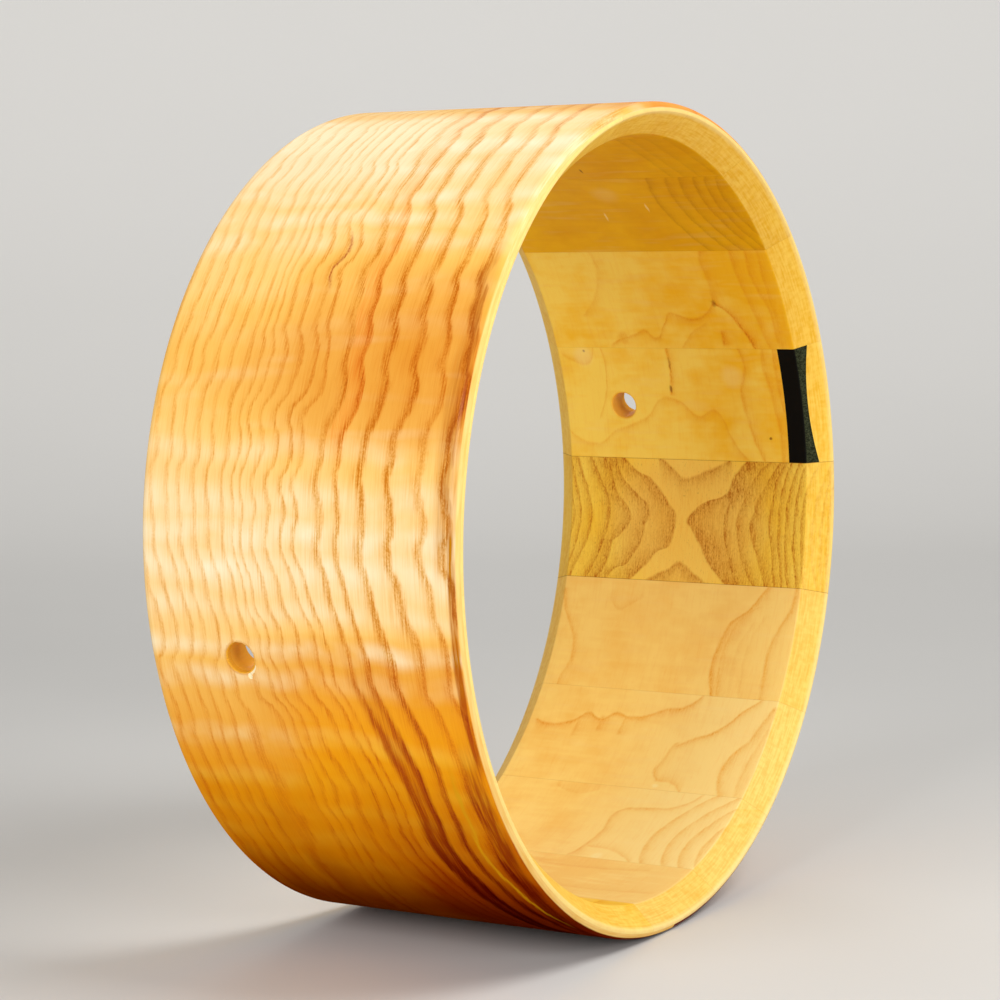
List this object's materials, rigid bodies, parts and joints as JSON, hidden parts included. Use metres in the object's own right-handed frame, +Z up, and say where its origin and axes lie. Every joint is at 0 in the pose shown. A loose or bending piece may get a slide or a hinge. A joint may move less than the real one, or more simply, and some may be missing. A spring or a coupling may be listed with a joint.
{
  "type": "drum shell",
  "caption": "Stave-built wooden drum shell with a figured outer ply, a bearing edge on each end, vent holes and a black strip let into the front edge.",
  "frame": {"origin": "midway between the two bearing edges, on the surface that the shell stands on, straight under its axis", "axes": "+X along the drum's axis, towards the end with the black strip; +Y across, towards the wall with the black strip; +Z up"},
  "size_m": [0.148, 0.3556, 0.3556],
  "materials": {
    "outer_ply": "satin lacquer over figured golden brown olive ash",
    "staves": "pale maple, sanded and thinly sealed",
    "edge_inlay": "black ebony, sanded"
  },
  "bodies": {
    "root": {"outer_ply": "outer_ply", "edge_inlay": "edge_inlay", "stave_01": "staves", "stave_02": "staves", "stave_03": "staves", "stave_04": "staves", "stave_05": "staves", "stave_06": "staves", "stave_07": "staves", "stave_08": "staves", "stave_09": "staves", "stave_10": "staves", "stave_11": "staves", "stave_12": "staves", "stave_13": "staves", "stave_14": "staves", "stave_15": "staves", "stave_16": "staves", "stave_17": "staves", "stave_18": "staves"}
  },
  "joints": []
}
